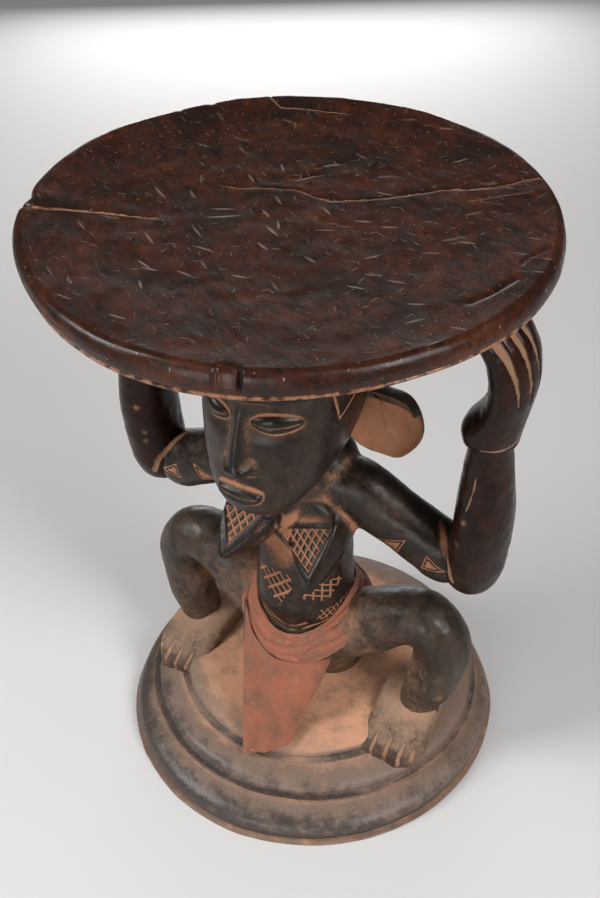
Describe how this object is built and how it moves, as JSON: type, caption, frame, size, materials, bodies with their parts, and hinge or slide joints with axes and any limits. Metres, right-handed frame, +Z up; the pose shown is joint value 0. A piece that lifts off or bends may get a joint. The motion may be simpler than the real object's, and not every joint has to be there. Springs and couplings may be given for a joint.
{
  "type": "caryatid stool",
  "caption": "Low carved wooden stool: a dished round seat carried on the head and raised hands of a seated figure, on a stepped round base, with a cloth wrap.",
  "frame": {"origin": "centre of the round base's flat underside", "axes": "+Z up, -Y the way the carved figure faces, +X towards the figure's own left hand"},
  "size_m": [0.31, 0.31, 0.412],
  "materials": {
    "seat_wood": "dark red-brown hardwood, waxed and worn to a satin polish",
    "figure_wood": "blackened hardwood, handled to a satin polish, ochre dust in the cuts",
    "base_wood": "hardwood under dry ochre dust, darker and smoother on the worn edges",
    "wrap_cloth": "old brick-red cotton, stiff with dust"
  },
  "bodies": {
    "root": {"base_lower_tier": "base_wood", "base_middle_tier": "base_wood", "base_platform": "base_wood", "foot_left": "figure_wood", "foot_right": "figure_wood", "shin_left": "figure_wood", "shin_right": "figure_wood", "thigh_left": "figure_wood", "thigh_right": "figure_wood", "torso": "figure_wood", "neck": "figure_wood", "head": "figure_wood", "coiffure": "figure_wood", "ear_left": "figure_wood", "ear_right": "figure_wood", "upper_arm_left": "figure_wood", "upper_arm_right": "figure_wood", "forearm_left": "figure_wood", "forearm_right": "figure_wood", "hand_left": "figure_wood", "hand_right": "figure_wood", "seat_disc": "seat_wood", "waist_wrap": "wrap_cloth", "apron_panel": "wrap_cloth"}
  },
  "joints": []
}
